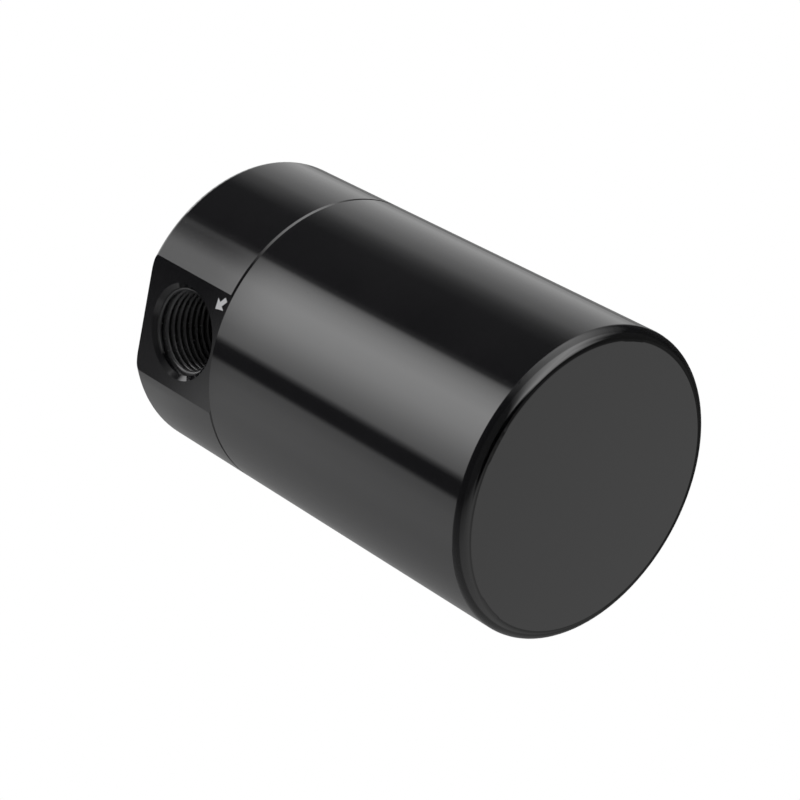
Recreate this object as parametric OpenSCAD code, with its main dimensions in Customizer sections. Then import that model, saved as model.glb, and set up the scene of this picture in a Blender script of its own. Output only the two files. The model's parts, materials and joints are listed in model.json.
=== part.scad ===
// Oil catch can: a turned head with two side ports, a screw-on canister, and a hanging baffle stack.
// Millimetres. The origin is the centre of the canister's flat base and +Z runs up to the head.
// The ports face -X (inlet) and +X (outlet).

/* [Body] */
// Outside diameter of the head and of the canister
can_d = 60; // [58:0.5:70]
// Height of the canister, from its base to the seam
canister_h = 71.5; // [66:0.5:110]
// Height of the head above the seam
head_h = 24.5; // [22.5:0.5:32]
// Wall of the canister at its plain bore
wall_t = 4; // [3.5:0.1:5]
// Thickness of the canister's floor
floor_t = 4; // [2.5:0.1:6]
// Rounding of the canister's outer base edge
base_edge_r = 2.4; // [0.5:0.1:3]
// Rounding inside the canister, between wall and floor
floor_corner_r = 3; // [1:0.5:5]
// Rounding of the head's top edge
head_edge_r = 1.2; // [0.4:0.1:2]
// Bevel on each side of the seam
seam_bevel = 0.35; // [0.1:0.05:0.6]

/* [Canister thread and seal] */
// Length of the spigot that the head puts into the canister
spigot_h = 11; // [10.5:0.5:14]
// Depth of the canister's thread root past its plain bore
thread_step = 1; // [0.8:0.1:1.5]
// Radial height of the thread, left between the two smooth root walls
thread_gap = 0.6; // [0.4:0.05:0.7]
// Thickness of the seal ring
seal_d = 1.7; // [1.5:0.05:1.9]
// Gap between the seal ring and the spigot's thread root
seal_gap = 0.6; // [0.3:0.05:0.7]

/* [Ports] */
// Width of the flat around each port
flat_w = 23.7; // [22:0.1:24]
// Radius of a port at its thread root
port_r = 8.5; // [7:0.1:8.8]
// Depth of a port from its flat
port_depth = 17; // [15:0.5:18]
// Height of the port's centre under the top face
port_drop = 12; // [10.5:0.5:12.5]
// Width of the bevel at the port's mouth
port_bevel = 0.9; // [0.3:0.1:1]
// Radius of the gas passages in the head
passage_r = 5; // [4:0.1:5.2]

/* [Bracket holes] */
// Distance between the two tapped holes in the top face
bracket_pitch = 46; // [40:0.5:48]
// Radius of a bracket hole at its thread root
bracket_hole_r = 2; // [1.5:0.1:2.5]
// Depth of a bracket hole
bracket_hole_h = 9; // [6:0.5:10]

/* [Inlet tube] */
// Outside radius of the tube
tube_r = 6; // [5.8:0.1:6.4]
// Wall of the tube
tube_wall = 1.4; // [1:0.1:1.8]
// Length of the tube's seat in the head
tube_seat_h = 9; // [7:0.5:11]
// Length of the tube under the nut
tube_tail = 5.2; // [4.5:0.1:6]
// Slope of the tube's cut end, in degrees
tube_cut_angle = 17; // [5:1:18]

/* [Baffles] */
// Length of a standoff between the head and the upper baffle
standoff_h = 14.5; // [14:0.5:17]
// Distance between the two baffle floors
baffle_gap = 12; // [11:0.5:14]
// Thickness of the baffle sheet
sheet_t = 1; // [0.8:0.1:1.4]
// Height of a baffle's rim
rim_h = 4; // [3:0.5:5]
// Radius of a hole in a baffle
hole_r = 1.5; // [1:0.1:1.7]
// Distance between two holes along a ring, and between two rings
hole_pitch = 4.4; // [4.2:0.1:6]
// Height of the mesh pad
pad_h = 8.6; // [6:0.1:8.8]
// Rounding of the pad's edges
pad_edge_r = 2; // [1:0.1:3]
// Wall of the spacer sleeve between the baffles
spacer_wall = 1.3; // [1:0.1:1.5]

/* [Fasteners] */
// Width across the flats of the baffle nut
nut_af = 17; // [16.5:0.1:19]
// Height of the baffle nut
nut_h = 3.6; // [3:0.1:5]
// Thickness of the nut's lock washer
nut_washer_t = 1.2; // [0.8:0.1:1.6]
// Width across the flats of a standoff
standoff_af = 5.5; // [5:0.1:6]
// Radius of the small screws and studs
screw_r = 1.5; // [1.3:0.1:1.6]
// Length of thread of a screw in its standoff, and of a stud in the head
screw_grip = 5.5; // [4:0.5:6]
// Radius of a small screw's head
screw_head_r = 2.9; // [2.6:0.1:3.1]
// Height of a small screw's head
screw_head_h = 1.7; // [1.4:0.1:1.8]
// Thickness of a small lock washer
screw_washer_t = 0.8; // [0.5:0.1:0.9]

/* [Outlet filter] */
// Width across the flats of the filter's fitting
fitting_af = 13; // [13:0.1:16]
// Height of the fitting's hexagon
fitting_h = 4; // [3:0.1:4.5]
// Length of the fitting's stud in the head
fitting_stud_h = 7; // [5:0.5:9]
// Length of the bronze cup under the fitting
cup_h = 8.6; // [7:0.1:8.8]
// Radius of the bronze cup at its top
cup_r = 6.4; // [6:0.1:6.8]
// Wall of the bronze cup
cup_wall = 2.2; // [1.5:0.1:2.5]

/* [Clearances] */
// Gap of a part that is screwed or pressed into another
seat_gap = 0.05; // [0.02:0.01:0.1]
// Gap of the baffles and the pad in what surrounds them
loose_gap = 0.6; // [0.4:0.1:1]

/* [Hidden] */
$fn = 96;

over = 1; // how far a cutting shape runs past the face that it cuts
can_r = can_d / 2;
bore_r = can_r - wall_t;
seam_z = canister_h;
top_z = seam_z + head_h;

// The canister's thread root and the head's spigot
thread_root_r = bore_r + thread_step;
spigot_r = thread_root_r - thread_gap;
spigot_z = seam_z - spigot_h;
thread_floor_gap = 1.5; // between the spigot's end and the end of the canister's thread
thread_floor_z = spigot_z - thread_floor_gap;
spigot_bevel = 0.8;
mouth_bevel = 0.5;

// The step in the canister's mouth, and the seal ring that lies on it
seal_ring_r = spigot_r + seal_gap + seal_d / 2;
seal_step_r = seal_ring_r + seal_d / 2 + seat_gap;
seal_step_z = seam_z - seal_d - 2 * seat_gap;
seal_z = seal_step_z + seat_gap + seal_d / 2;

// The ports and passages
flat_x = sqrt(can_r * can_r - flat_w * flat_w / 4);
port_z = top_z - port_drop;
port_end_x = flat_x - port_depth;
outlet_x = (bore_r + tube_r) / 2; // midway between the tube and the canister's wall
fitting_hole_r = passage_r - tube_wall;
tap_bevel = 0.4;

// The stack under the head, from the top down
upper_z = spigot_z - standoff_h;
upper_under_z = upper_z - sheet_t;
lower_z = upper_under_z - baffle_gap;
lower_under_z = lower_z - sheet_t;
nut_top_z = lower_under_z - nut_washer_t;
nut_under_z = nut_top_z - nut_h;
tube_end_z = nut_under_z - tube_tail;
baffle_r = bore_r - loose_gap;
baffle_bend_r = 2; // outside the bend between a baffle's floor and its rim
inner_bend_r = baffle_bend_r - sheet_t / 2;
centre_hole_r = tube_r + 2 * seat_gap;
spacer_r = centre_hole_r + spacer_wall;
pad_inner_r = spacer_r + loose_gap;
pad_outer_r = baffle_r - sheet_t - loose_gap;

// The three standoffs and their screws
STANDOFF_ANGLES = [60, 180, 300];
washer_margin = 0.2; // how far a lock washer stands out past its screw's head or its nut
screw_washer_r = screw_head_r + washer_margin;
nut_washer_r = nut_af / 2 + washer_margin;
washer_to_bend = 0.3; // between a screw's washer and the baffle's bend
standoff_ring_r = baffle_r - sheet_t - inner_bend_r - washer_to_bend - screw_washer_r;
tapped_r = screw_r + seat_gap;
washer_slit_w = 0.6;
hole_margin = 0.5; // sheet left round each hole in a baffle

// The cross recess of a screw, as shares of its head
recess_width_share = 0.25;
recess_length_share = 1.1;
recess_depth_share = 0.6;

// The bronze cup narrows to its foot, which is rounded
cup_taper = 1.2;
cup_foot_round = 1.7;
cup_foot_r = cup_r - cup_taper;
cup_hollow_r = cup_foot_r - cup_wall;

// Round ring with a square section
module ring(inner_r, outer_r, height) {
    rotate_extrude() translate([inner_r, 0]) square([outer_r - inner_r, height]);
}

// What rounding takes off a profile's corner: the corner is at the origin, the material at -X -Y
module off_corner(r) {
    difference() {
        translate([-r, -r]) square(2 * r);
        translate([-r, -r]) circle(r);
    }
}

// What a 45 degree bevel takes off the same corner
module off_bevel(size) {
    polygon([[-size, 0], [0, -size], [size, -size], [size, size], [-size, size]]);
}

// Hexagonal bar with bevelled ends
module hex_bar(across_flats, height, bevel) {
    corner_r = across_flats / sqrt(3);
    intersection() {
        rotate([0, 0, 30]) cylinder(r = corner_r, h = height, $fn = 6);
        rotate_extrude() difference() {
            square([corner_r, height]);
            translate([corner_r, height]) off_bevel(bevel);
            translate([corner_r, 0]) mirror([0, 1]) off_bevel(bevel);
        }
    }
}

// Split spring washer
module split_washer(inner_r, outer_r, thickness) {
    difference() {
        ring(inner_r, outer_r, thickness);
        translate([0, -washer_slit_w / 2, -over])
            cube([outer_r + over, washer_slit_w, thickness + 2 * over]);
    }
}

// Puts its children at one of the three standoffs
module at_standoff(i) {
    rotate([0, 0, STANDOFF_ANGLES[i]]) translate([standoff_ring_r, 0, 0]) children();
}

// Turned cup: plain bore, wider thread root and seal step at the mouth, rounded base edge
module canister() {
    color("#1b1c1e") rotate_extrude() difference() {
        square([can_r, seam_z]);
        translate([can_r, 0]) mirror([0, 1]) off_corner(base_edge_r);
        translate([can_r, seam_z]) off_bevel(seam_bevel);
        difference() {
            translate([0, floor_t]) square([bore_r, seam_z]);
            translate([bore_r, floor_t]) mirror([0, 1]) off_corner(floor_corner_r);
        }
        translate([0, thread_floor_z]) square([thread_root_r, seam_z]);
        translate([0, seal_step_z - mouth_bevel])
            polygon([[0, 0], [thread_root_r, 0], [thread_root_r + mouth_bevel, mouth_bevel],
                [thread_root_r + mouth_bevel, over], [0, over]]);
        translate([0, seal_step_z]) square([seal_step_r, seam_z]);
    }
}

// The head before its flats, ports and holes are cut
module head_blank() {
    rotate_extrude() difference() {
        union() {
            translate([0, seam_z]) square([can_r, head_h]);
            translate([0, spigot_z]) square([spigot_r, spigot_h]);
        }
        translate([can_r, top_z]) off_corner(head_edge_r);
        translate([can_r, seam_z]) mirror([0, 1]) off_bevel(seam_bevel);
        translate([spigot_r, spigot_z]) mirror([0, 1]) off_bevel(spigot_bevel);
    }
}

// One threaded port, cut from its flat towards the axis along +X
module port_cut() {
    translate([port_end_x, 0, port_z]) rotate([0, 90, 0]) {
        cylinder(r = port_r, h = port_depth + over);
        translate([0, 0, port_depth - port_bevel])
            cylinder(r1 = port_r, r2 = port_r + port_bevel + over, h = port_bevel + over);
    }
}

// Inlet passage: in from the port to the axis, then down to the tube's seat
module inlet_passage() {
    translate([-port_end_x - over, 0, port_z]) rotate([0, 90, 0])
        cylinder(r = passage_r, h = port_end_x + over);
    translate([0, 0, port_z]) sphere(r = passage_r);
    translate([0, 0, spigot_z]) cylinder(r = passage_r, h = port_z - spigot_z);
    translate([0, 0, spigot_z - over]) cylinder(r = tube_r + seat_gap, h = tube_seat_h + over);
}

// Two tapped holes for the bracket's screws, each with a small bevel
module bracket_holes() {
    for (side = [-1, 1]) translate([0, side * bracket_pitch / 2, top_z]) {
        translate([0, 0, -bracket_hole_h]) cylinder(r = bracket_hole_r, h = bracket_hole_h + over);
        translate([0, 0, -tap_bevel])
            cylinder(r1 = bracket_hole_r, r2 = bracket_hole_r + tap_bevel + over, h = tap_bevel + over);
    }
}

// Turned and milled head, with a spigot below and two ports on milled flats
module head() {
    color("#202124") difference() {
        head_blank();
        for (side = [0, 180]) rotate([0, 0, side]) {
            translate([flat_x, -can_r, seam_z]) cube([can_r, can_d, head_h + over]);
            port_cut();
        }
        inlet_passage();
        translate([outlet_x, 0, spigot_z - over])
            cylinder(r = passage_r, h = port_z - spigot_z + over);
        bracket_holes();
        for (i = [0:2]) at_standoff(i) translate([0, 0, spigot_z - over])
            cylinder(r = tapped_r, h = screw_grip + 2 * over);
    }
}

// Rubber ring round the spigot, between the canister's step and the head
module canister_seal() {
    color("#0c0c0d") rotate_extrude() translate([seal_ring_r, seal_z]) circle(seal_d / 2);
}

// Tube that leads the gas down through the baffles, with its end cut on a slope
module inlet_tube() {
    cut_lift = tube_r * tan(tube_cut_angle);
    color("#a9abad") difference() {
        translate([0, 0, tube_end_z]) ring(tube_r - tube_wall, tube_r,
            spigot_z + tube_seat_h - seat_gap - tube_end_z);
        translate([0, 0, tube_end_z + cut_lift]) rotate([0, tube_cut_angle, 0])
            translate([-can_r, -can_r, -can_d]) cube([can_d, can_d, can_d]);
    }
}

// Rings of holes in a baffle's floor, with none over a standoff's screw
module perforations(clear_of_screws) {
    inner = spacer_r + hole_r + hole_margin;
    outer = baffle_r - baffle_bend_r - hole_r - hole_margin;
    rings = floor((outer - inner) / hole_pitch);
    for (k = [0:rings]) {
        ring_r = inner + k * hole_pitch;
        count = floor(2 * PI * ring_r / hole_pitch);
        for (i = [0:count - 1]) {
            spot = [ring_r * cos(360 * i / count), ring_r * sin(360 * i / count)];
            nearest = min([for (a = STANDOFF_ANGLES)
                norm(spot - standoff_ring_r * [cos(a), sin(a)])]);
            if (!clear_of_screws || nearest > screw_washer_r + hole_r + hole_margin)
                translate([spot.x, spot.y, -over]) cylinder(r = hole_r, h = sheet_t + 2 * over);
        }
    }
}

// Pressed dish with a turned-up rim and a hole for the tube. Its floor's underside is at z = 0
module baffle_dish() {
    rotate_extrude() difference() {
        translate([centre_hole_r, 0]) square([baffle_r - centre_hole_r, rim_h]);
        translate([baffle_r, 0]) mirror([0, 1]) off_corner(baffle_bend_r);
        difference() {
            translate([0, sheet_t]) square([baffle_r - sheet_t, rim_h]);
            translate([baffle_r - sheet_t, sheet_t]) mirror([0, 1]) off_corner(inner_bend_r);
        }
    }
}

// Upper baffle: the rim turned down, screwed to the standoffs
module upper_baffle() {
    color("#b9bbbd") translate([0, 0, upper_z]) mirror([0, 0, 1]) difference() {
        baffle_dish();
        perforations(true);
        for (i = [0:2]) mirror([0, 0, 1]) at_standoff(i)
            translate([0, 0, -sheet_t - over]) cylinder(r = tapped_r, h = sheet_t + 2 * over);
    }
}

// Lower baffle: the rim turned up, held on the tube by the nut
module lower_baffle() {
    color("#b9bbbd") translate([0, 0, lower_under_z]) difference() {
        baffle_dish();
        perforations(false);
    }
}

// Sleeve that keeps the two baffles apart
module baffle_spacer() {
    color("#a9abad") translate([0, 0, lower_z]) ring(centre_hole_r, spacer_r, baffle_gap);
}

// Knitted wire pad, a thick ring that lies on the lower baffle
module mesh_pad() {
    color("#8d8f91") translate([0, 0, lower_z]) rotate_extrude() difference() {
        translate([pad_inner_r, 0]) square([pad_outer_r - pad_inner_r, pad_h]);
        translate([pad_outer_r, pad_h]) off_corner(pad_edge_r);
        translate([pad_outer_r, 0]) mirror([0, 1]) off_corner(pad_edge_r);
        translate([pad_inner_r, pad_h]) mirror([1, 0]) off_corner(pad_edge_r);
        translate([pad_inner_r, 0]) mirror([1, 0]) mirror([0, 1]) off_corner(pad_edge_r);
    }
}

// Split washer under the nut
module nut_lock_washer() {
    color("#9a9c9e") translate([0, 0, nut_top_z])
        split_washer(centre_hole_r, nut_washer_r, nut_washer_t);
}

// Thin nut on the tube, which holds the lower baffle up
module baffle_nut() {
    color("#c2c4c6") translate([0, 0, nut_under_z]) difference() {
        hex_bar(nut_af, nut_h, mouth_bevel);
        translate([0, 0, -over]) cylinder(r = tube_r + seat_gap, h = nut_h + 2 * over);
    }
}

// Hexagonal standoff, a stud above and a tapped hole below
module standoff(i) {
    color("#c2c4c6") at_standoff(i) translate([0, 0, upper_z]) difference() {
        union() {
            hex_bar(standoff_af, standoff_h, mouth_bevel / 2);
            cylinder(r = screw_r, h = standoff_h + screw_grip);
        }
        translate([0, 0, -over]) cylinder(r = tapped_r, h = screw_grip + 2 * over);
    }
}

// Pan head screw with a cross recess, driven up into its standoff
module screw(i) {
    head_top_z = upper_under_z - screw_washer_t;
    recess_w = screw_head_r * recess_width_share;
    recess_l = screw_head_r * recess_length_share;
    recess_h = screw_head_h * recess_depth_share;
    dome_r = (screw_head_r * screw_head_r + screw_head_h * screw_head_h) / (2 * screw_head_h);
    color("#c2c4c6") at_standoff(i) translate([0, 0, head_top_z]) {
        difference() {
            intersection() {
                translate([0, 0, -screw_head_h]) cylinder(r = screw_head_r - seat_gap, h = screw_head_h);
                translate([0, 0, dome_r - screw_head_h]) sphere(r = dome_r);
            }
            for (turn = [0, 90]) rotate([0, 0, turn]) translate([-recess_l / 2, -recess_w / 2,
                -screw_head_h - over]) cube([recess_l, recess_w, recess_h + over]);
        }
        cylinder(r = screw_r, h = screw_washer_t + sheet_t + screw_grip);
    }
}

// Small split washer under a screw's head
module screw_lock_washer(i) {
    color("#9a9c9e") at_standoff(i) translate([0, 0, upper_under_z - screw_washer_t])
        split_washer(tapped_r, screw_washer_r, screw_washer_t);
}

// Brass fitting that carries the filter: a stud up into the head and a hexagon under it
module filter_fitting() {
    color("#b08d45") translate([outlet_x, 0, spigot_z - fitting_h]) difference() {
        union() {
            hex_bar(fitting_af, fitting_h, mouth_bevel);
            cylinder(r = passage_r - seat_gap, h = fitting_h + fitting_stud_h);
        }
        translate([0, 0, -over]) cylinder(r = fitting_hole_r, h = fitting_h + fitting_stud_h + 2 * over);
    }
}

// Sintered bronze cup, closed at the bottom, with a slight taper to its rounded foot
module outlet_filter() {
    round_top_r = cup_foot_r + cup_taper * cup_foot_round / cup_h;
    color("#a5703a") translate([outlet_x, 0, spigot_z - fitting_h - cup_h]) difference() {
        intersection() {
            cylinder(r1 = cup_foot_r, r2 = cup_r, h = cup_h);
            rotate_extrude() difference() {
                square([cup_r, cup_h]);
                translate([round_top_r, 0]) mirror([0, 1]) off_corner(cup_foot_round);
            }
        }
        translate([0, 0, cup_wall]) cylinder(r = cup_hollow_r, h = cup_h);
    }
}

canister();
head();
canister_seal();
inlet_tube();
upper_baffle();
lower_baffle();
baffle_spacer();
mesh_pad();
nut_lock_washer();
baffle_nut();
for (i = [0:2]) {
    standoff(i);
    screw(i);
    screw_lock_washer(i);
}
filter_fitting();
outlet_filter();
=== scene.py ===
"""A black anodised oil catch can: its finishes, threads, wire pad and filter grain, and the studio round it.

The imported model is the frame, and the solids that need no more than a finish are shown as they are.
Sizes are in metres, in the can's own frame: the origin is the centre of the flat base, +Z runs up to
the head, and the inlet port faces -X.
"""

import json
import math
import random

import bmesh
import bpy
from mathutils import Matrix, Vector, noise


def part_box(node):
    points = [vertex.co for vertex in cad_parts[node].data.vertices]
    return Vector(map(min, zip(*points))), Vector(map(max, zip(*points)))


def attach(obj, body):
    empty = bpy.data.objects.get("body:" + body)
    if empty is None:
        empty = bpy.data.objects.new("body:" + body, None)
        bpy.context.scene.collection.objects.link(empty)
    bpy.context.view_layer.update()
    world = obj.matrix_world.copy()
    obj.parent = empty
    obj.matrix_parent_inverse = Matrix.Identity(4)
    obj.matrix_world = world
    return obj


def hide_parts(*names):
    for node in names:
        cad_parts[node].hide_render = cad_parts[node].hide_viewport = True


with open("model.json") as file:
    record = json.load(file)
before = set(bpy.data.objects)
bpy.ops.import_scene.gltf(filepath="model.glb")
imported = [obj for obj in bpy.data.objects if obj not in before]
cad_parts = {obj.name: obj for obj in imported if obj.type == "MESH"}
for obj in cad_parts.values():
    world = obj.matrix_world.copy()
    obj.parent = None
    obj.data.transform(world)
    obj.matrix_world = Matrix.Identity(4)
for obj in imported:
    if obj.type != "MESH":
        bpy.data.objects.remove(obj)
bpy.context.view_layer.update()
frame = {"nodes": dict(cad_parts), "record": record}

# Canister.
# A deep cup, turned from aluminium bar with a thread in its mouth, then dyed black and sealed.
# It carries fine turning lines, a slightly uneven dye, and a smooth sealed skin that mirrors the room.

mm = 0.001


class Value:
    """A socket in a node tree. Arithmetic on values adds Math nodes to their tree."""

    def __init__(self, tree, socket=None):
        self.tree = tree
        self.socket = socket

    def node(self, kind, settings=None, out=0, **inputs):
        """Adds a node: settings first, then the values or links of its sockets, named with _ for a space."""
        made = self.tree.nodes.new(kind)
        for name, setting in (settings or {}).items():
            if name == "stops":
                ramp = made.color_ramp.elements
                while len(ramp) < len(setting):
                    ramp.new(0.5)
                for element, (position, grey) in zip(ramp, setting):
                    element.position = position
                    element.color = (grey, grey, grey, 1)
            else:
                setattr(made, name, setting)
        for name, given in inputs.items():
            key = int(name[1:]) if name[0] == "_" else name.replace("_", " ")
            if isinstance(given, Value):
                self.tree.links.new(given.socket, made.inputs[key])
            else:
                made.inputs[key].default_value = given
        return Value(self.tree, made.outputs[out]) if made.outputs else made

    def math(self, operation, *terms):
        """A Math node on up to three values or numbers."""
        inputs = {f"_{place}": term for place, term in enumerate(terms)}
        return self.node("ShaderNodeMath", {"operation": operation}, **inputs)

    def __add__(self, other):
        return self.math("ADD", self, other)

    def __radd__(self, other):
        return self.math("ADD", other, self)

    def __sub__(self, other):
        return self.math("SUBTRACT", self, other)

    def __rsub__(self, other):
        return self.math("SUBTRACT", other, self)

    def __mul__(self, other):
        return self.math("MULTIPLY", self, other)

    def __rmul__(self, other):
        return self.math("MULTIPLY", other, self)

    def __truediv__(self, other):
        return self.math("DIVIDE", self, other)

    def __rtruediv__(self, other):
        return self.math("DIVIDE", other, self)

    def blend(self, low, high):
        """0 below low, 1 above high, and a smooth step between them."""
        return self.node(
            "ShaderNodeMapRange",
            {"interpolation_type": "SMOOTHSTEP"},
            Value=self,
            From_Min=low,
            From_Max=high,
        )

    def mix(self, first, second):
        """The first colour where this value is 0, the second where it is 1."""
        return self.node(
            "ShaderNodeMix", {"data_type": "RGBA"}, out=2, _0=self, _6=first, _7=second
        )


def open_material(name):
    """A new material, the start of its tree, and the place on the object."""
    material = bpy.data.materials.new(name)
    material.use_nodes = True
    material.node_tree.nodes.clear()
    start = Value(material.node_tree)
    return material, start, start.node("ShaderNodeTexCoord", out="Object")


def close_material(start, bump=None, strength=1.0, depth=0.0, **inputs):
    """The shader at the end of a material, with a bump of that depth where a height is given."""
    if bump is not None:
        inputs["Normal"] = start.node("ShaderNodeBump", Height=bump, Strength=strength, Distance=depth)
    shader = start.node("ShaderNodeBsdfPrincipled", **inputs)
    start.node("ShaderNodeOutputMaterial", Surface=shader)


def component(vector, axis):
    """The X, Y or Z of a vector value."""
    return vector.node("ShaderNodeSeparateXYZ", out=axis, Vector=vector)


def length_of(vector):
    """How long a vector value is."""
    return vector.node("ShaderNodeVectorMath", {"operation": "LENGTH"}, out="Value", _0=vector)


def grain(place, scale, detail=3.0):
    """Plain noise on the object, in lumps of about 1 / scale metres."""
    return place.node("ShaderNodeTexNoise", Vector=place, Scale=scale, Detail=detail)


def turning_lines(place, pitch):
    """Fine lathe lines: round the axis on the walls, and in rings on the ends."""
    facing = place.node("ShaderNodeTexCoord", out="Normal")
    flat_end = facing.math("ABSOLUTE", component(facing, "Z")).blend(0.6, 0.8)
    x = component(place, "X")
    y = component(place, "Y")
    radius = length_of(place.node("ShaderNodeCombineXYZ", X=x, Y=y, Z=0.0))
    along = component(place, "Z") * (1 - flat_end) + radius * flat_end
    return along.node(
        "ShaderNodeTexNoise", {"noise_dimensions": "1D"}, W=along / pitch, Scale=1.0, Detail=2.0
    )


# Aluminium oxide bends light more than glass does
oxide_ior = 1.72


def make_anodised(name, dye, thin_dye, roughness):
    """Sealed black dye over fine turning lines, with faint clouds in its colour and gloss."""
    material, start, place = open_material(name)
    lines = turning_lines(place, pitch=0.35 * mm)
    cloud = grain(place, 45.0)
    speck = grain(place, 2200.0, detail=1.0).blend(0.7, 0.78)
    close_material(
        start,
        bump=lines * 0.5 + grain(place, 700.0) * 0.2,
        strength=0.3,
        depth=0.002 * mm,
        Base_Color=(cloud * 0.8 + lines * 0.2).blend(0.35, 0.7).mix(dye, thin_dye),
        Roughness=roughness + cloud * 0.035 + lines * 0.015 + speck * 0.1,
        IOR=oxide_ior,
    )
    return material


anodised = make_anodised(
    "anodised_black",
    dye=(0.0031, 0.0031, 0.0038, 1),
    thin_dye=(0.0050, 0.0049, 0.0056, 1),
    roughness=0.04,
)
# A cut thread is rougher, and its paler grey is painted light, which lifts the dark bores of the ports
anodised_thread = make_anodised(
    "anodised_thread",
    dye=(0.022, 0.022, 0.023, 1),
    thin_dye=(0.034, 0.034, 0.035, 1),
    roughness=0.22,
)


def finish_node(name, material):
    """Gives a solid of the frame its finish."""
    piece = frame["nodes"][name]
    piece.data.materials.clear()
    piece.data.materials.append(material)


finish_node("canister", anodised)


def add_mesh(name, points, faces, material, body, smooth=True):
    """A new piece of the object, in metres, which moves with a body."""
    mesh = bpy.data.meshes.new(name)
    mesh.from_pydata([tuple(point) for point in points], [], faces)
    shell = bmesh.new()
    shell.from_mesh(mesh)
    bmesh.ops.recalc_face_normals(shell, faces=shell.faces)
    shell.to_mesh(mesh)
    shell.free()
    mesh.materials.append(material)
    for face in mesh.polygons:
        face.use_smooth = smooth
    piece = bpy.data.objects.new(name, mesh)
    bpy.context.scene.collection.objects.link(piece)
    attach(piece, body)
    return piece


def turned_point(r, turn, z):
    """A point at that radius, turn and height."""
    return Vector((r * math.cos(turn), r * math.sin(turn), z))


# How far a ridge's foot lies in its wall, and half its width there and at its crest, in pitches
ridge_sunk = 0.05 * mm
foot_share = 0.44
crest_share = 0.09


def thread_ridge(wall, crest, pitch, start, end, turn_steps, phase=0.0, cut_away=None):
    """Points and faces of a right-handed ridge round Z, from start to end, fading out over half a turn.

    It stands on a wall of one radius and reaches to a crest of another. Where cut_away(point) is
    true there is no wall, and the ridge is broken off.
    """
    foot = wall - math.copysign(ridge_sunk, crest - wall)
    steps = round((end - start) / pitch * turn_steps)
    fade_steps = turn_steps / 2
    points = []
    faces = []
    unbroken = False
    for step in range(steps + 1):
        along = start + (end - start) * step / steps
        turn = 2 * math.pi * along / pitch + phase
        fade = min(1, step / fade_steps, (steps - step) / fade_steps)
        top = wall + (crest - wall) * fade
        section = ((foot, -foot_share), (top, -crest_share), (top, crest_share), (foot, foot_share))
        corners = len(section)
        ring = [turned_point(r, turn, along + share * pitch) for r, share in section]
        first = len(points)
        if cut_away and any(cut_away(point) for point in ring):
            if unbroken:
                faces.append(tuple(range(first - corners, first)))
            unbroken = False
            continue
        points += ring
        if unbroken:
            for corner in range(corners):
                after = (corner + 1) % corners
                faces.append(
                    (first - corners + corner, first - corners + after, first + after, first + corner)
                )
        else:
            faces.append(tuple(reversed(range(first, first + corners))))
        unbroken = True
    if unbroken:
        faces.append(tuple(range(len(points) - corners, len(points))))
    return points, faces


def add_thread(name, body, place=Matrix.Identity(4), **shape):
    """A thread ridge as a piece of its own, moved from the Z axis to its place."""
    points, faces = thread_ridge(**shape)
    points = [place @ point for point in points]
    return add_mesh(name, points, faces, anodised_thread, body)


seam_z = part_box("canister")[1].z
mouth_thread_root = 27.0 * mm
mouth_thread_depth = 0.5 * mm
mouth_thread_play = 0.1 * mm
mouth_thread_pitch = 1.5 * mm
mouth_thread_steps = 180
add_thread(
    "canister_thread",
    "canister",
    wall=mouth_thread_root,
    crest=mouth_thread_root - mouth_thread_depth,
    pitch=mouth_thread_pitch,
    start=seam_z - 11.1 * mm,
    end=seam_z - 2.9 * mm,
    turn_steps=mouth_thread_steps,
)

# Head.
# Turned and milled from the same bar and anodised with the canister. It has a spigot thread below, a
# tapped port on each flat, and two tapped holes above to hang it by. Arrows show the way of the gas.

finish_node("head", anodised)

# Its turns lie midway between those of the canister
add_thread(
    "spigot_thread",
    "head",
    wall=mouth_thread_root - mouth_thread_depth - mouth_thread_play,
    crest=mouth_thread_root - mouth_thread_play,
    pitch=mouth_thread_pitch,
    start=seam_z - 9.8 * mm,
    end=seam_z - 2.3 * mm,
    turn_steps=mouth_thread_steps,
    phase=math.pi,
)

mounts = {mount["name"]: mount for mount in frame["record"]["mounts"]}
port_r = mounts["inlet_port"]["dims"]["r_mm"] * mm
port_z = mounts["inlet_port"]["pos_m"][2]
# 18 turns to the inch
port_pitch = 1.411 * mm
# The outlet's passage is 5 mm in radius, and the ridge is broken off a little short of it
fitting_low, fitting_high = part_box("filter_fitting")
outlet_passage_x = (fitting_low.x + fitting_high.x) / 2
outlet_passage_r = 5.1 * mm


def over_outlet_passage(point):
    """Is a point of the outlet's thread over the mouth of the passage that comes up into the port?"""
    return point.x > 0 and math.hypot(point.z - outlet_passage_x, point.y) < outlet_passage_r


for side, port in ((math.pi, "inlet"), (0.0, "outlet")):
    # The port's own Z points outward from the can's axis, and its X down
    outward = (
        Matrix.Translation((0, 0, port_z))
        @ Matrix.Rotation(side, 4, "Z")
        @ Matrix.Rotation(math.pi / 2, 4, "Y")
    )
    add_thread(
        f"{port}_port_thread",
        "head",
        outward,
        wall=port_r,
        crest=port_r - 0.88 * mm,
        pitch=port_pitch,
        start=12.2 * mm,
        end=26.3 * mm,
        turn_steps=72,
        cut_away=over_outlet_passage if port == "outlet" else None,
    )

bracket_hole_r = mounts["bracket_holes"]["dims"]["hole_r_mm"] * mm
bracket_hole_y = mounts["bracket_holes"]["dims"]["spacing_y_mm"] / 2 * mm
top_z = mounts["bracket_holes"]["pos_m"][2]
for number, across in ((1, -bracket_hole_y), (2, bracket_hole_y)):
    add_thread(
        f"bracket_hole_thread_{number}",
        "head",
        Matrix.Translation((0, across, 0)),
        wall=bracket_hole_r,
        crest=bracket_hole_r - 0.35 * mm,
        pitch=0.7 * mm,
        start=top_z - 8.6 * mm,
        end=top_z - 0.6 * mm,
        turn_steps=36,
    )


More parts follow.
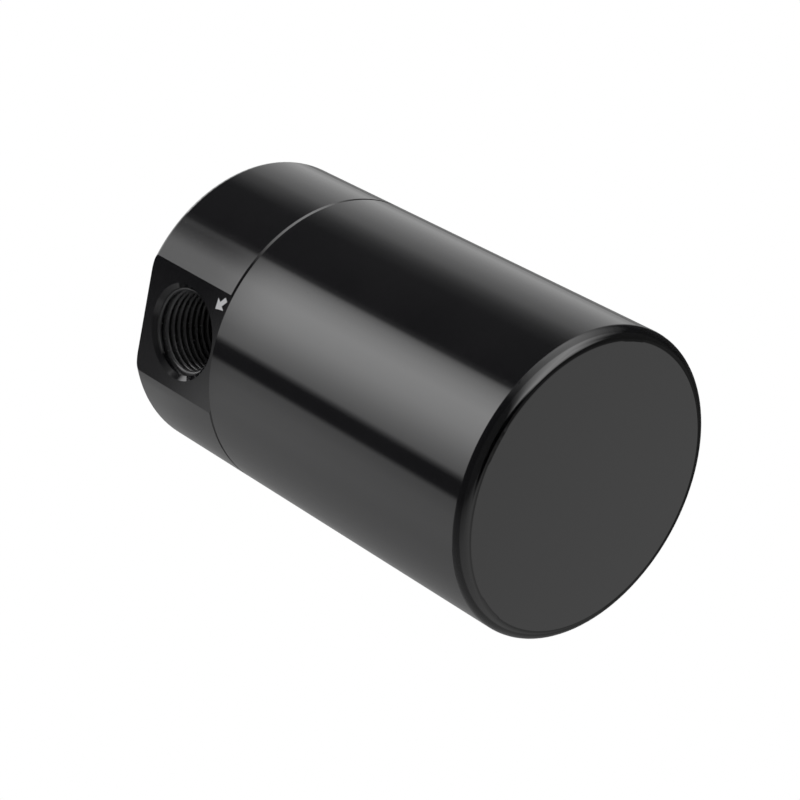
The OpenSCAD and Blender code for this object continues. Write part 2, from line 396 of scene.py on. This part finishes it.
def make_laser_mark():
    """Anodising bleached by a laser: pale grey, matt and finely mottled."""
    material, start, place = open_material("laser_mark")
    mottle = grain(place, 6000.0)
    close_material(
        start,
        Base_Color=mottle.mix((0.42, 0.42, 0.43, 1), (0.62, 0.62, 0.63, 1)),
        Roughness=0.6 + mottle * 0.1,
    )
    return material


laser_mark = make_laser_mark()
flat_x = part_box("head")[1].x
arrow_length = 3.8 * mm
arrow_across = 9.2 * mm
arrow_z = port_z - 9.8 * mm
arrow_proud = 0.012 * mm
arrow_sunk = 0.05 * mm
# An arrow's outline, in shares of its length: across, then along
arrow_outline = (
    (-0.12, -0.5),
    (0.12, -0.5),
    (0.12, 0.0),
    (0.36, 0.0),
    (0.0, 0.5),
    (-0.36, 0.0),
    (-0.12, 0.0),
)


def add_arrow(name, side, tilt):
    """A thin arrow on one flat, beside the port and under it, turned by that tilt from upright."""
    corners = []
    for x in (flat_x + arrow_proud, flat_x - arrow_sunk):
        for right, up in arrow_outline:
            turned = Vector((right, up)) * arrow_length
            turned.rotate(Matrix.Rotation(tilt, 2))
            corners.append(Vector((side * x, side * arrow_across + turned.x, arrow_z + turned.y)))
    count = len(arrow_outline)
    faces = [tuple(range(count)), tuple(reversed(range(count, 2 * count)))]
    for corner in range(count):
        after = (corner + 1) % count
        faces.append((corner, count + corner, count + after, after))
    add_mesh(name, corners, faces, laser_mark, "head", smooth=False)


add_arrow("inlet_arrow", -1, math.radians(-45))
add_arrow("outlet_arrow", 1, math.radians(-135))

# Rubber seal.
# A moulded ring of black nitrile rubber, dull and very slightly rough. It lies on a step in the
# canister's mouth, and the head presses it down.


def make_rubber():
    """Dull black rubber with a fine skin."""
    material, start, place = open_material("black_rubber")
    skin = grain(place, 3000.0)
    close_material(
        start,
        bump=skin,
        strength=0.4,
        depth=0.01 * mm,
        Base_Color=skin.mix((0.008, 0.008, 0.008, 1), (0.02, 0.02, 0.02, 1)),
        Roughness=0.55 + skin * 0.2,
    )
    return material


finish_node("canister_seal", make_rubber())

# Tube, spacer and baffles.
# The tube and the spacer are cut from drawn aluminium tube, and the baffles are pressed from punched
# sheet. The tube screws into the head; the baffles and the spacer are slipped over it.


def make_plain_aluminium():
    """Bare aluminium, with the tool's lines in it and a grey, cloudy gloss."""
    material, start, place = open_material("plain_aluminium")
    lines = turning_lines(place, pitch=0.2 * mm)
    cloud = grain(place, 160.0)
    close_material(
        start,
        bump=lines,
        strength=0.5,
        depth=0.01 * mm,
        Base_Color=(lines * 0.6 + cloud * 0.4).mix((0.52, 0.53, 0.54, 1), (0.74, 0.75, 0.76, 1)),
        Metallic=1.0,
        Roughness=0.3 + cloud * 0.18,
    )
    return material


plain_aluminium = make_plain_aluminium()
for name in ("baffle_spacer", "upper_baffle", "lower_baffle"):
    finish_node(name, plain_aluminium)


def grid_points(rows, around, point):
    """A grid of points: point(row, turn) for each row, with turn going once round."""
    return [
        point(row, 2 * math.pi * step / around) for row in range(rows) for step in range(around)
    ]


def grid_faces(rows, around, closed=True):
    """Faces between the rows of such a grid, and between its last and first row where it is closed."""
    faces = []
    for row in range(rows if closed else rows - 1):
        low = row * around
        high = (row + 1) % rows * around
        for step in range(around):
            after = (step + 1) % around
            faces.append((low + step, low + after, high + after, high + step))
    return faces


tube_low, tube_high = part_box("inlet_tube")
tube_r = tube_high.x
tube_bore_r = tube_r - 1.4 * mm
tube_slope = math.tan(math.radians(17))
tube_around = 96
# The thread for the nut runs from the sloping end to just inside the spacer
tube_thread_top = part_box("baffle_spacer")[0].z + 0.5 * mm
tube_thread_pitch = 1.0 * mm
tube_thread_depth = 0.45 * mm
tube_thread_row = 0.1 * mm
# The share of half a pitch that is flat at the thread's crest, and again at its root
tube_thread_flat = 0.1154


def tube_end_z(turn, r):
    """The height of the tube's sloping end, which is lowest on the +X side."""
    return tube_low.z + (tube_r - r * math.cos(turn)) * tube_slope


def make_inlet_tube():
    """The tube with its sloping end, and the thread for the nut cut into its low end."""
    thread_rows = round((tube_thread_top - tube_low.z) / tube_thread_row)

    def thread_point(row, turn):
        low = tube_end_z(turn, tube_r)
        z = low + (tube_thread_top - low) * row / thread_rows
        # 0 at a crest, and 1 at a root half a pitch away
        wave = abs((z / tube_thread_pitch - turn / (2 * math.pi)) % 1 * 2 - 1)
        groove = (wave - tube_thread_flat) / (1 - 2 * tube_thread_flat)
        fade = min(1, (tube_thread_top - z) / tube_thread_pitch)
        return turned_point(tube_r - tube_thread_depth * fade * min(1, max(0, groove)), turn, z)

    def point(row, turn):
        if row <= thread_rows:
            return thread_point(row, turn)
        plain = (
            (tube_r, tube_high.z),
            (tube_bore_r, tube_high.z),
            (tube_bore_r, tube_end_z(turn, tube_bore_r)),
        )
        r, z = plain[row - thread_rows - 1]
        return turned_point(r, turn, z)

    # The thread has a row of points at both its ends, and the plain tube has three more
    rows = thread_rows + 1 + 3
    tube = add_mesh(
        "inlet_tube_threaded",
        grid_points(rows, tube_around, point),
        grid_faces(rows, tube_around),
        plain_aluminium,
        "head",
    )
    tube.data.set_sharp_from_angle(angle=math.radians(50))
    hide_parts("inlet_tube")


make_inlet_tube()

# Steel fasteners.
# The nut, the standoffs, the screws and the split washers are steel, plated with zinc. The nut holds
# the lower baffle on the tube, and the screws hold the upper baffle to the standoffs.


def make_plated_steel():
    """Bright zinc, with a faint blue and yellow bloom."""
    material, start, place = open_material("plated_steel")
    bloom = grain(place, 300.0)
    close_material(
        start,
        bump=grain(place, 2500.0),
        strength=0.3,
        depth=0.006 * mm,
        Base_Color=bloom.blend(0.35, 0.65).mix((0.56, 0.59, 0.64, 1), (0.7, 0.68, 0.62, 1)),
        Metallic=1.0,
        Roughness=0.22 + bloom * 0.15,
    )
    return material


plated_steel = make_plated_steel()
fasteners = ["nut_lock_washer", "baffle_nut"]
for number in (1, 2, 3):
    fasteners += [f"standoff_{number}", f"screw_{number}", f"screw_lock_washer_{number}"]
for name in fasteners:
    finish_node(name, plated_steel)

# Wire pad.
# Stainless wire, knitted into a stocking and rolled into a thick ring, so that oil mist catches on it.
# It lies loose on the lower baffle, round the spacer.

pad_low, pad_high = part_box("mesh_pad")
pad_r = pad_high.x
pad_bore_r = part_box("baffle_spacer")[1].x + 0.6 * mm
pad_edge_r = 2 * mm
wire_r = 0.13 * mm
wire_sides = 4
course_spacing = 1.15 * mm
loop_width = 2.1 * mm
loop_steps = 11
# A loop leans to both sides by this share of its width, and lifts over the next by this many wire radii
loop_lean = 0.2
loop_lift = 0.5
# How far a course's loops reach from its middle, at the least and at the most, in course spacings
loop_reach = (0.52, 0.64)
# How far under the pad's outline the courses and the core lie
course_inset = 1.6 * wire_r
core_inset = 3.2 * wire_r
core_spacing = 1.5 * mm
core_around = 72


def make_wire():
    """Drawn stainless wire."""
    material, start, place = open_material("knitted_wire")
    cloud = grain(place, 500.0)
    close_material(
        start,
        Base_Color=cloud.mix((0.42, 0.42, 0.42, 1), (0.62, 0.61, 0.6, 1)),
        Metallic=1.0,
        Roughness=0.28 + cloud * 0.15,
    )
    return material


def make_wire_shade():
    """Painted shade on the pad's solid core, for the wire deep in the pad where little light comes."""
    material, start, place = open_material("wire_shade")
    # The dark grey and its mottle are painted shade, over a bump
    shaded_tangle = grain(place, 1500.0).blend(0.4, 0.6)
    close_material(
        start,
        bump=shaded_tangle,
        strength=0.8,
        depth=0.2 * mm,
        Base_Color=shaded_tangle.mix((0.03, 0.03, 0.03, 1), (0.14, 0.14, 0.14, 1)),
        Metallic=0.8,
        Roughness=0.5,
    )
    return material


def pad_outline(inset, spacing):
    """Points round the pad's section, about that far apart: radius, height and the way out."""
    left = pad_bore_r + pad_edge_r
    right = pad_r - pad_edge_r
    low = pad_low.z + pad_edge_r
    high = pad_high.z - pad_edge_r
    reach = pad_edge_r - inset
    # The middle of each rounded edge, and the angle at which its quarter turn begins
    edges = ((right, high, 0), (left, high, 90), (left, low, 180), (right, low, 270))
    outline = []
    for number, (r, z, first) in enumerate(edges):
        edge_steps = max(2, round(reach * math.pi / 2 / spacing))
        for step in range(edge_steps):
            angle = math.radians(first + 90 * step / edge_steps)
            way = (math.cos(angle), math.sin(angle))
            outline.append((r + reach * way[0], z + reach * way[1], way))
        side_angle = math.radians(first + 90)
        way = (round(math.cos(side_angle)), round(math.sin(side_angle)))
        next_r, next_z, _ = edges[(number + 1) % len(edges)]
        side_steps = max(1, round(math.hypot(next_r - r, next_z - z) / spacing))
        for step in range(side_steps):
            share = step / side_steps
            side_r = r + (next_r - r) * share + reach * way[0]
            side_z = z + (next_z - z) * share + reach * way[1]
            outline.append((side_r, side_z, way))
    return outline


def wire_course(course, loops, height, start_turn):
    """One knitted course round the pad: a wire that runs in loops, as points and faces of a thin tube."""
    course_r, course_z, (out_r, out_z) = course
    steps = loops * loop_steps
    middle = []
    for step in range(steps):
        loop = step / loop_steps
        lean = loop_lean * math.sin(4 * math.pi * loop)
        turn = 2 * math.pi * (loop + lean) / loops + start_turn
        climb = height * math.cos(2 * math.pi * loop)
        lift = loop_lift * wire_r * math.cos(4 * math.pi * loop)
        r = course_r - out_z * climb + out_r * lift
        z = course_z + out_r * climb + out_z * lift
        middle.append(turned_point(r, turn, z))
    points = []
    for step, centre in enumerate(middle):
        along = (middle[(step + 1) % steps] - middle[step - 1]).normalized()
        out = turned_point(out_r, math.atan2(centre.y, centre.x), out_z)
        across = along.cross(out).normalized()
        out = across.cross(along)
        for side in range(wire_sides):
            angle = 2 * math.pi * side / wire_sides
            points.append(centre + wire_r * (math.cos(angle) * out + math.sin(angle) * across))
    faces = []
    for step in range(steps):
        low = step * wire_sides
        high = (step + 1) % steps * wire_sides
        for side in range(wire_sides):
            after = (side + 1) % wire_sides
            faces.append((low + side, high + side, high + after, low + after))
    return points, faces


def make_wire_pad():
    """Courses of knitted wire round a core painted dark as shade, in the place of the plain ring."""
    core = pad_outline(core_inset, core_spacing)

    def core_point(row, turn):
        r, z, _ = core[row]
        return turned_point(r, turn, z)

    points = grid_points(len(core), core_around, core_point)
    faces = grid_faces(len(core), core_around)
    core_count = len(faces)
    draw = random.Random(11)
    for course in pad_outline(course_inset, course_spacing):
        loops = round(2 * math.pi * course[0] / loop_width)
        height = course_spacing * draw.uniform(*loop_reach)
        start_turn = draw.uniform(0, 6)
        more_points, more_faces = wire_course(course, loops, height, start_turn)
        first = len(points)
        points += more_points
        faces += [tuple(first + corner for corner in face) for face in more_faces]
    pad = add_mesh("wire_pad", points, faces, make_wire(), "pad")
    # The core's faces take the painted shade
    pad.data.materials.append(make_wire_shade())
    for face in pad.data.polygons[:core_count]:
        face.material_index = 1
    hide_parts("mesh_pad")


make_wire_pad()

# Outlet filter.
# A turned brass fitting, screwed into the outlet's passage, holds a cup of sintered bronze beads that
# keeps droplets out of the outlet.


def make_brass():
    """Turned brass, bright with a light brown haze."""
    material, start, place = open_material("brass")
    cloud = grain(place, 250.0)
    close_material(
        start,
        Base_Color=cloud.mix((0.58, 0.40, 0.15, 1), (0.78, 0.58, 0.26, 1)),
        Metallic=1.0,
        Roughness=0.22 + cloud * 0.15,
    )
    return material


finish_node("filter_fitting", make_brass())

cup_low, cup_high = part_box("outlet_filter")
cup_centre = Vector((outlet_passage_x, 0, cup_low.z))
cup_h = cup_high.z - cup_low.z
cup_r = cup_high.y
cup_foot_r = cup_r - 1.2 * mm
cup_edge_r = 1.7 * mm
cup_wall = 2.2 * mm
cup_hollow_r = cup_foot_r - cup_wall
cup_around = 300
cup_step = 0.125 * mm
# The radius of the innermost rings of points, each closed by one small face
axis_r = 0.05 * mm
bead = 0.62 * mm
bead_depth = 0.16 * mm
# A bead's dome falls to its full depth at this share of its size from the middle
dome_reach = 0.62
# The beads grow to their full depth over this many rows of points under the rim
rim_rows = 2


def make_bronze():
    """Sintered bronze: matt, with painted shade that darkens its brown between the grains."""
    material, start, place = open_material("sintered_bronze")
    beads = grain(place, 2500.0)
    close_material(
        start,
        bump=beads,
        strength=0.4,
        depth=0.05 * mm,
        # Where the grain is low its brown is darker: painted shade between the beads
        Base_Color=beads.mix((0.18, 0.09, 0.035, 1), (0.55, 0.33, 0.17, 1)),
        Metallic=1.0,
        Roughness=0.5,
    )
    return material


def cup_outside():
    """The cup's outer section, from the rim down to the middle of the foot: radius, height and way out."""
    taper = (cup_r - cup_foot_r) / cup_h
    side_h = cup_h - cup_edge_r
    side_steps = round(side_h / cup_step)
    section = []
    for step in range(side_steps + 1):
        z = cup_h - side_h * step / side_steps
        section.append((cup_foot_r + taper * z, z, (1.0, 0.0)))
    edge_steps = round(cup_edge_r * math.pi / 2 / cup_step)
    flat_r = cup_foot_r + taper * cup_edge_r - cup_edge_r
    for step in range(1, edge_steps + 1):
        angle = math.pi / 2 * step / edge_steps
        way = (math.cos(angle), -math.sin(angle))
        section.append((flat_r + cup_edge_r * way[0], cup_edge_r + cup_edge_r * way[1], way))
    flat_steps = round(flat_r / cup_step)
    for step in range(1, flat_steps):
        section.append((flat_r * (1 - step / flat_steps), 0.0, (0.0, -1.0)))
    section.append((axis_r, 0.0, (0.0, -1.0)))
    return section


def make_bead_cup():
    """The cup with the domes of its sintered beads in its surface, in the place of the smooth cup."""
    inside = [(axis_r, cup_wall), (cup_hollow_r, cup_wall), (cup_hollow_r, cup_h)]
    outside = cup_outside()
    rows = len(inside) + len(outside)

    def point(row, turn):
        if row < len(inside):
            r, z = inside[row]
            return cup_centre + turned_point(r, turn, z)
        r, z, way = outside[row - len(inside)]
        # How far the middle of the nearest bead is, in beads
        off = noise.voronoi(turned_point(r, turn, z) / bead)[0][0]
        fade = min(1, (row - len(inside)) / rim_rows)
        dent = bead_depth * fade * min(1, (off / dome_reach) ** 2)
        return cup_centre + turned_point(r - way[0] * dent, turn, z - way[1] * dent)

    last = (rows - 1) * cup_around
    faces = grid_faces(rows, cup_around, closed=False)
    faces += [tuple(range(cup_around)), tuple(range(last, last + cup_around))]
    cup = add_mesh(
        "bead_cup",
        grid_points(rows, cup_around, point),
        faces,
        make_bronze(),
        "head",
    )
    cup.data.set_sharp_from_angle(angle=math.radians(60))
    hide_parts("outlet_filter")


make_bead_cup()

# Camera.
# It stands where the photographer's did: the can lay on its side then, with its base towards the lens.
# The lens is longer than theirs, so that the can alone fills the picture.

camera_place = Vector((-0.3277, -0.1516, -0.2741))
camera_forward = Vector((0.6739, 0.3178, 0.6669)).normalized()
camera_up = Vector((0.0767, -0.9279, 0.3648))
# The sensor and the lens in millimetres, as a camera's maker gives them
sensor_width = 36
photo_lens = 31.64
enlargement = 3.65
camera_right = camera_forward.cross(camera_up).normalized()
camera_up = camera_right.cross(camera_forward)
camera_data = bpy.data.cameras.new("camera")
camera_data.sensor_width = sensor_width
camera_data.lens = photo_lens * enlargement
camera_data.clip_start = 0.01
camera_data.clip_end = 20
camera = bpy.data.objects.new("camera", camera_data)
camera.matrix_world = Matrix.Translation(camera_place) @ Matrix(
    (camera_right, camera_up, -camera_forward)
).transposed().to_4x4()
bpy.context.scene.collection.objects.link(camera)
bpy.context.scene.camera = camera

# Studio.
# A pale floor under the can, which fades into the white round it and can't be seen from below.
# The room is white to the camera; the can mirrors softboxes and dark gaps, as upright stripes.

floor_radius = 0.6
floor_fade = 0.35
floor_drop = 0.1 * mm


def make_floor():
    """A pale disc just under the can, see-through from below and towards its edge."""
    material, start, place = open_material("pale_floor")
    below = start.node("ShaderNodeNewGeometry", out="Backfacing")
    unseen = below.math("MAXIMUM", below, length_of(place).blend(floor_fade, floor_radius))
    paper = start.node("ShaderNodeBsdfDiffuse", Color=(0.86, 0.86, 0.86, 1))
    nothing = start.node("ShaderNodeBsdfTransparent")
    both = start.node("ShaderNodeMixShader", _0=unseen, _1=paper, _2=nothing)
    start.node("ShaderNodeOutputMaterial", Surface=both)
    disc = bmesh.new()
    bmesh.ops.create_circle(disc, cap_ends=True, segments=96, radius=floor_radius)
    mesh = bpy.data.meshes.new("floor")
    disc.to_mesh(mesh)
    disc.free()
    mesh.materials.append(material)
    floor = bpy.data.objects.new("floor", mesh)
    floor.location.z = -floor_drop
    floor.visible_glossy = False
    bpy.context.scene.collection.objects.link(floor)


make_floor()
can_middle = Vector((0, 0, 0.05))


def add_softbox(name, place, size, power):
    """A square lamp that looks at the can and isn't mirrored in it."""
    data = bpy.data.lights.new(name, "AREA")
    data.shape = "SQUARE"
    data.size = size
    data.energy = power
    lamp = bpy.data.objects.new(name, data)
    lamp.location = place
    lamp.rotation_mode = "QUATERNION"
    lamp.rotation_quaternion = (can_middle - Vector(place)).to_track_quat("-Z", "Y")
    lamp.visible_glossy = False
    lamp.visible_camera = False
    bpy.context.scene.collection.objects.link(lamp)


add_softbox("key", place=(-0.5, -0.6, 0.9), size=0.6, power=5.5)
add_softbox("fill", place=(0.8, 0.3, 0.7), size=0.8, power=4.0)

# The room's upper half, listed as pairs of a bearing, in degrees from +X towards +Y, and its
# brightness. It holds a grey card, the great window and a paler card, with black gaps between them.
grey_card = ((10, 0.25), (60, 0.3), (90, 0.4), (110, 0.5), (125, 0.62), (140, 0.66), (152, 0.56))
first_gap = ((155.5, 0.05), (166, 0.05))
great_window = (
    (168.5, 0.3), (171.5, 0.9), (182, 1.35), (190, 1.8), (199, 2.3), (207, 2.55), (215, 2.7),
    (224, 2.3), (232, 1.65), (236.5, 1.05),
)
second_gap = ((239, 0.2), (243, 0.06), (282, 0.07))
pale_card = ((292, 0.16), (299, 0.3), (307, 0.53), (323, 0.72), (340, 0.82), (348, 0.8), (356, 0.5))
# How many times as bright each bearing is a little higher up, in the part that the head mirrors
higher_gain = (
    (45, 1.0), (57, 1.3), (95, 1.3), (108, 0.7), (115, 0.25), (149, 0.25), (154, 0.15),
    (158, 0.15), (166, 0.9), (171, 0.9), (180, 0.6), (205, 0.48), (218, 0.43), (226, 0.25),
    (232, 0.2), (238, 0.4), (243, 1.0), (282, 1.0), (292, 1.4), (302, 1.0),
)
# The light near the horizon and under it: a card, and one window on the far side
low_card = ((25, 0.12), (45, 0.4), (60, 0.55), (115, 0.43), (130, 0.35), (147, 0.24), (160, 0.08))
low_window = (
    (228, 0.08), (238, 0.52), (250, 1.4), (265, 2.15), (282, 2.7), (292, 2.3), (300, 1.55),
    (312, 0.6), (322, 0.08), (345, 0.08),
)
brightest = 2.75
wide_window_light = 1.2
ceiling_light = 1.6
# The pale board that the flat base mirrors, and the angles from its middle between which it fades
board_way = Vector((0.674, 0.318, -0.667)).normalized()
board_light = 0.573
board_inner = math.radians(9)
board_outer = math.radians(12)
# What dull surfaces get from every side
dull_light = 0.5


def make_room():
    """White to the camera, soft light to dull surfaces, and stripes of softbox and gap to glossy ones."""
    world = bpy.data.worlds.new("studio")
    bpy.context.scene.world = world
    world.use_nodes = True
    world.node_tree.nodes.clear()
    start = Value(world.node_tree)
    toward = start.node("ShaderNodeTexCoord", out="Generated")
    # The turn goes from 0 to 1 once round, and the rise from -1 straight down to 1 straight up
    turn = start.math("ARCTAN2", component(toward, "Y"), component(toward, "X")) / (2 * math.pi)
    turn = start.math("FRACT", turn + 1.0)
    rise = component(toward, "Z")

    def stripes(bearings):
        """The value that a table of at most 32 bearings gives on each turn."""
        stops = [(bearing / 360, bright / brightest) for bearing, bright in bearings]
        ramp = turn.node("ShaderNodeValToRGB", {"stops": stops}, Fac=turn)
        return start.node("ShaderNodeRGBToBW", Color=ramp) * brightest

    upper = stripes(grey_card + first_gap + great_window + second_gap + pale_card)
    upper = upper * (1 + (stripes(higher_gain) - 1) * rise.blend(0.713, 0.728))
    lower = stripes(low_card + low_window)
    # Far down the window is wider, and the floor under the can is dark
    wider = turn.blend(0.815, 0.835) * (1 - turn.blend(0.89, 0.925)) * (1 - rise.blend(-0.78, -0.6))
    lower = (lower + wide_window_light * wider) * rise.blend(-0.98, -0.93)
    # From a little under the horizon up, all of it is half as bright
    lower = lower * (1 - 0.5 * rise.blend(-0.42, -0.26))
    high = rise.blend(0.46, 0.62)
    overhead = rise.blend(0.8, 0.93)
    bright = lower * (1 - high) + upper * high * (1 - overhead) + ceiling_light * overhead
    near_board = start.node(
        "ShaderNodeVectorMath", {"operation": "DOT_PRODUCT"}, out="Value", _0=toward, _1=board_way
    )
    board = near_board.blend(math.cos(board_outer), math.cos(board_inner))
    bright = bright * (1 - board) + board_light * board
    glossy = start.node("ShaderNodeLightPath", out="Is Glossy Ray")
    dull = start.node("ShaderNodeLightPath", out="Is Diffuse Ray")
    strength = glossy * bright + dull * dull_light + (1 - glossy) * (1 - dull)
    background = start.node("ShaderNodeBackground", Color=(1, 1, 1, 1), Strength=strength)
    start.node("ShaderNodeOutputWorld", Surface=background)


make_room()

bpy.context.scene.view_settings.view_transform = "Standard"
